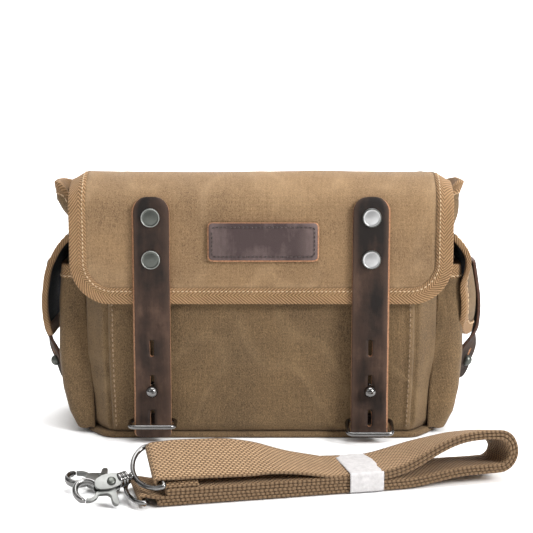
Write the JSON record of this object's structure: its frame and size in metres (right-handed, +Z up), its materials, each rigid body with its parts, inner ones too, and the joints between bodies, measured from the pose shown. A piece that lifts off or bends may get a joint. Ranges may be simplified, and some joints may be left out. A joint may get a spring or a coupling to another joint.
{
  "type": "camera bag",
  "caption": "Canvas camera messenger bag with flap, leather closing straps, side pockets, padded insert with dividers, and a folded shoulder strap with swivel hooks.",
  "frame": {"origin": "middle of the bag base, on the floor", "axes": "+X to the right seen from the front, -Y out of the front face, +Z up"},
  "size_m": [0.315, 0.2864, 0.181],
  "materials": {
    "canvas": "waxed khaki-brown canvas, heathered weave, rubbed creases",
    "tape": "herringbone cotton binding tape",
    "lining": "black plain-weave lining",
    "leather": "oiled dark brown pull-up leather with tan cut edges",
    "nickel": "polished nickel",
    "padding": "dark brushed foam-backed fabric",
    "webbing": "tan basket-weave cotton webbing",
    "paper": "plain white paper"
  },
  "bodies": {
    "bag": {"base_panel": "canvas", "rear_panel": "canvas", "front_panel": "canvas", "front_pocket": "canvas", "front_pocket_tape": "tape", "padded_insert": "padding", "left_gusset": "canvas", "left_side_pocket": "canvas", "left_pocket_stud": "nickel", "left_stud": "nickel", "left_keeper_tab": "leather", "left_anchor_tab": "leather", "right_gusset": "canvas", "right_side_pocket": "canvas", "right_pocket_stud": "nickel", "right_stud": "nickel", "right_keeper_tab": "leather", "right_anchor_tab": "leather"},
    "flap": {"flap_canvas": "canvas", "flap_lining": "lining", "flap_binding": "tape", "name_patch": "leather", "left_strap": "leather", "left_rivet_1": "nickel", "left_rivet_2": "nickel", "right_strap": "leather", "right_rivet_1": "nickel", "right_rivet_2": "nickel"},
    "left_divider": {"left_divider": "padding"},
    "right_divider": {"right_divider": "padding"},
    "left_strap_tail": {"left_strap_tail": "leather"},
    "left_keeper_ring": {"left_keeper_ring": "nickel"},
    "left_d_ring": {"left_d_ring": "nickel"},
    "left_pocket_flap": {"left_pocket_flap": "canvas", "left_pocket_tab": "leather", "left_tab_rivet": "nickel"},
    "right_strap_tail": {"right_strap_tail": "leather"},
    "right_keeper_ring": {"right_keeper_ring": "nickel"},
    "right_d_ring": {"right_d_ring": "nickel"},
    "right_pocket_flap": {"right_pocket_flap": "canvas", "right_pocket_tab": "leather", "right_tab_rivet": "nickel"},
    "shoulder_strap": {"strap_webbing": "webbing", "paper_band": "paper", "hook_a_eye": "nickel", "hook_b_eye": "nickel"},
    "hook_a": {"hook_a_body": "nickel", "hook_a_pin": "nickel"},
    "hook_a_trigger": {"hook_a_trigger": "nickel"},
    "hook_b": {"hook_b_body": "nickel", "hook_b_pin": "nickel"},
    "hook_b_trigger": {"hook_b_trigger": "nickel"}
  },
  "joints": [
    {"name": "flap_hinge", "type": "hinge", "parent": "bag", "child": "flap", "pos_m": [0, 0.061, 0.168], "axis": [-1, 0, 0], "range_deg": [0, 165]},
    {"name": "left_divider_shift", "type": "slide", "parent": "bag", "child": "left_divider", "axis": [1, 0, 0], "range_m": [-0.015, 0.015]},
    {"name": "right_divider_shift", "type": "slide", "parent": "bag", "child": "right_divider", "axis": [1, 0, 0], "range_m": [-0.015, 0.015]},
    {"name": "left_tail_swing", "type": "hinge", "parent": "flap", "child": "left_strap_tail", "pos_m": [-0.073, -0.0723, 0.09385], "axis": [-1, 0, 0], "range_deg": [0, 70]},
    {"name": "left_keeper_swing", "type": "hinge", "parent": "bag", "child": "left_keeper_ring", "pos_m": [-0.073, -0.066, 0.0135], "axis": [-1, 0, 0], "range_deg": [0, 35]},
    {"name": "left_d_ring_swing", "type": "hinge", "parent": "bag", "child": "left_d_ring", "pos_m": [-0.098, 0.0676, 0.146], "axis": [1, 0, 0], "range_deg": [0, 100]},
    {"name": "left_pocket_flap_hinge", "type": "hinge", "parent": "bag", "child": "left_pocket_flap", "pos_m": [-0.1315, 0.005, 0.1352], "axis": [0, 1, 0], "range_deg": [0, 100]},
    {"name": "right_tail_swing", "type": "hinge", "parent": "flap", "child": "right_strap_tail", "pos_m": [0.073, -0.0723, 0.09385], "axis": [-1, 0, 0], "range_deg": [0, 70]},
    {"name": "right_keeper_swing", "type": "hinge", "parent": "bag", "child": "right_keeper_ring", "pos_m": [0.073, -0.066, 0.0135], "axis": [-1, 0, 0], "range_deg": [0, 50]},
    {"name": "right_d_ring_swing", "type": "hinge", "parent": "bag", "child": "right_d_ring", "pos_m": [0.098, 0.0676, 0.146], "axis": [1, 0, 0], "range_deg": [0, 100]},
    {"name": "right_pocket_flap_hinge", "type": "hinge", "parent": "bag", "child": "right_pocket_flap", "pos_m": [0.1315, 0.005, 0.1352], "axis": [0, -1, 0], "range_deg": [0, 100]},
    {"name": "shoulder_strap_lift", "type": "slide", "parent": "bag", "child": "shoulder_strap", "axis": [0, 0, 1], "range_m": [0, 0.15]},
    {"name": "hook_a_swivel", "type": "hinge", "parent": "shoulder_strap", "child": "hook_a", "pos_m": [-0.07573, -0.1914, 0.014], "axis": [-0.8451, -0.5123, -0.1527], "continuous": true},
    {"name": "hook_a_trigger_press", "type": "hinge", "parent": "hook_a", "child": "hook_a_trigger", "pos_m": [-0.08733, -0.19887, 0.01154], "axis": [-0.2332, 0.6103, -0.7571], "range_deg": [0, 20], "stiffness_Nm_per_rad": 0.02, "springref_deg": -17.19},
    {"name": "hook_b_swivel", "type": "hinge", "parent": "shoulder_strap", "child": "hook_b", "pos_m": [-0.08102, -0.17875, 0.0046], "axis": [-0.9821, 0.1704, 0.0801], "continuous": true},
    {"name": "hook_b_trigger_press", "type": "hinge", "parent": "hook_b", "child": "hook_b_trigger", "pos_m": [-0.09468, -0.17588, 0.00581], "axis": [0.0481, -0.1846, 0.9816], "range_deg": [0, 20], "stiffness_Nm_per_rad": 0.02, "springref_deg": -17.19}
  ]
}
